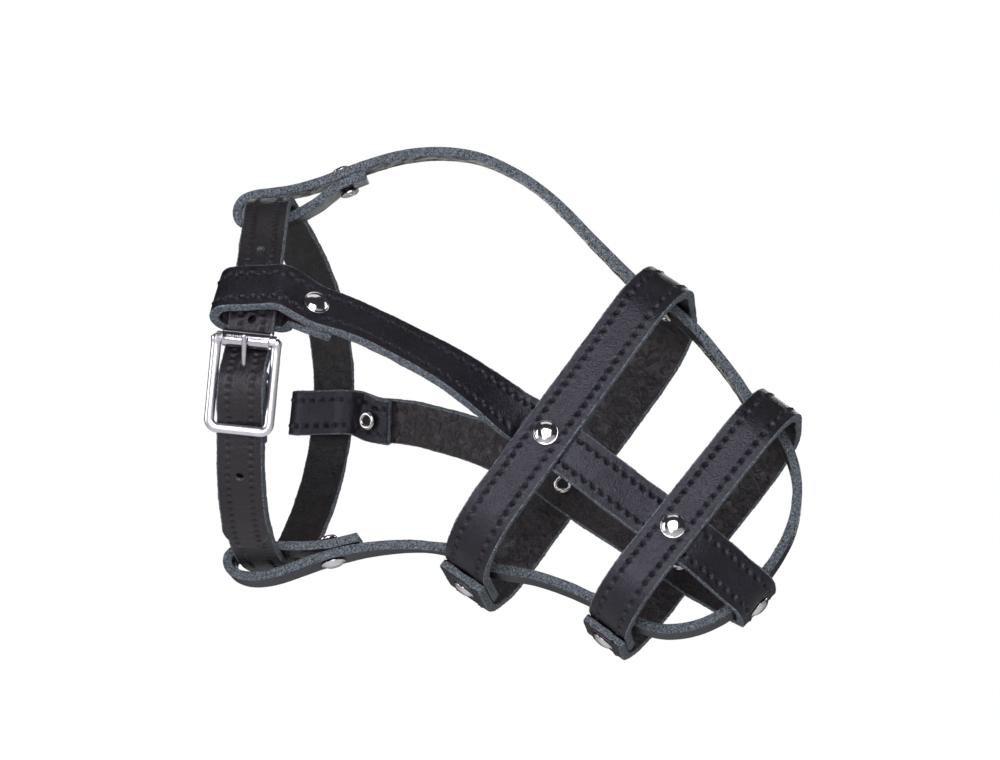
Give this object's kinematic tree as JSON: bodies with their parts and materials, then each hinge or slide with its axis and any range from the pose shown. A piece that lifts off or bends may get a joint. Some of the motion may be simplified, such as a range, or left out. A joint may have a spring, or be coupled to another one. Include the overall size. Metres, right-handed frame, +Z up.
{
  "type": "dog muzzle",
  "caption": "Leather basket muzzle: ring bands round the snout, riveted centre and side straps, and a neck strap with a roller buckle.",
  "frame": {"origin": "centre of the rear ring band, which is the snout opening", "axes": "+X forward towards the nose, +Y to the dog's left, +Z up; the snout axis slopes 37 degrees below +X, and the buckle is on the -Y side"},
  "size_m": [0.2092, 0.1584, 0.1916],
  "materials": {
    "leather": "black grain leather, raised stitch dashes along both edges",
    "neck_leather": "black grain leather, round punched holes",
    "buckle": "bright nickel plate",
    "roller": "bright nickel plate",
    "rivet": "bright nickel plate, domed"
  },
  "bodies": {
    "harness": {"centre_strap": "leather", "side_strap": "leather", "rear_ring": "leather", "front_ring": "leather", "cap_crown_loop": "rivet", "cap_throat_loop": "rivet", "cap_near_loop": "rivet", "cap_far_loop": "rivet", "cap_rear_top": "rivet", "cap_rear_near": "rivet", "cap_rear_far": "rivet", "cap_rear_bottom": "rivet", "cap_front_top": "rivet", "cap_front_near": "rivet", "cap_front_far": "rivet", "cap_front_bottom": "rivet", "cap_nose": "rivet", "post_crown_loop": "rivet", "post_throat_loop": "rivet", "post_near_loop": "rivet", "post_far_loop": "rivet", "post_rear_top": "rivet", "post_rear_near": "rivet", "post_rear_far": "rivet", "post_rear_bottom": "rivet", "post_front_top": "rivet", "post_front_near": "rivet", "post_front_far": "rivet", "post_front_bottom": "rivet", "post_nose": "rivet"},
    "neck_band": {"neck_strap": "neck_leather", "buckle_frame": "buckle", "cap_buckle": "rivet", "post_buckle": "rivet"},
    "roller": {"buckle_roller": "roller"},
    "prong": {"buckle_prong": "buckle"}
  },
  "joints": [
    {"name": "neck_slide", "type": "hinge", "parent": "harness", "child": "neck_band", "pos_m": [-0.1072, 0, 0.0268], "axis": [1, 0, 0], "range_deg": [-1, 8]},
    {"name": "roller_spin", "type": "hinge", "parent": "neck_band", "child": "roller", "pos_m": [-0.10481, -0.07339, 0.01804], "axis": [0.9909, 0.0435, -0.1277], "continuous": true},
    {"name": "prong_lift", "type": "hinge", "parent": "neck_band", "child": "prong", "pos_m": [-0.1067, -0.06637, 0.00578], "axis": [0.9909, 0.0435, -0.1277], "range_deg": [0, 4]}
  ]
}
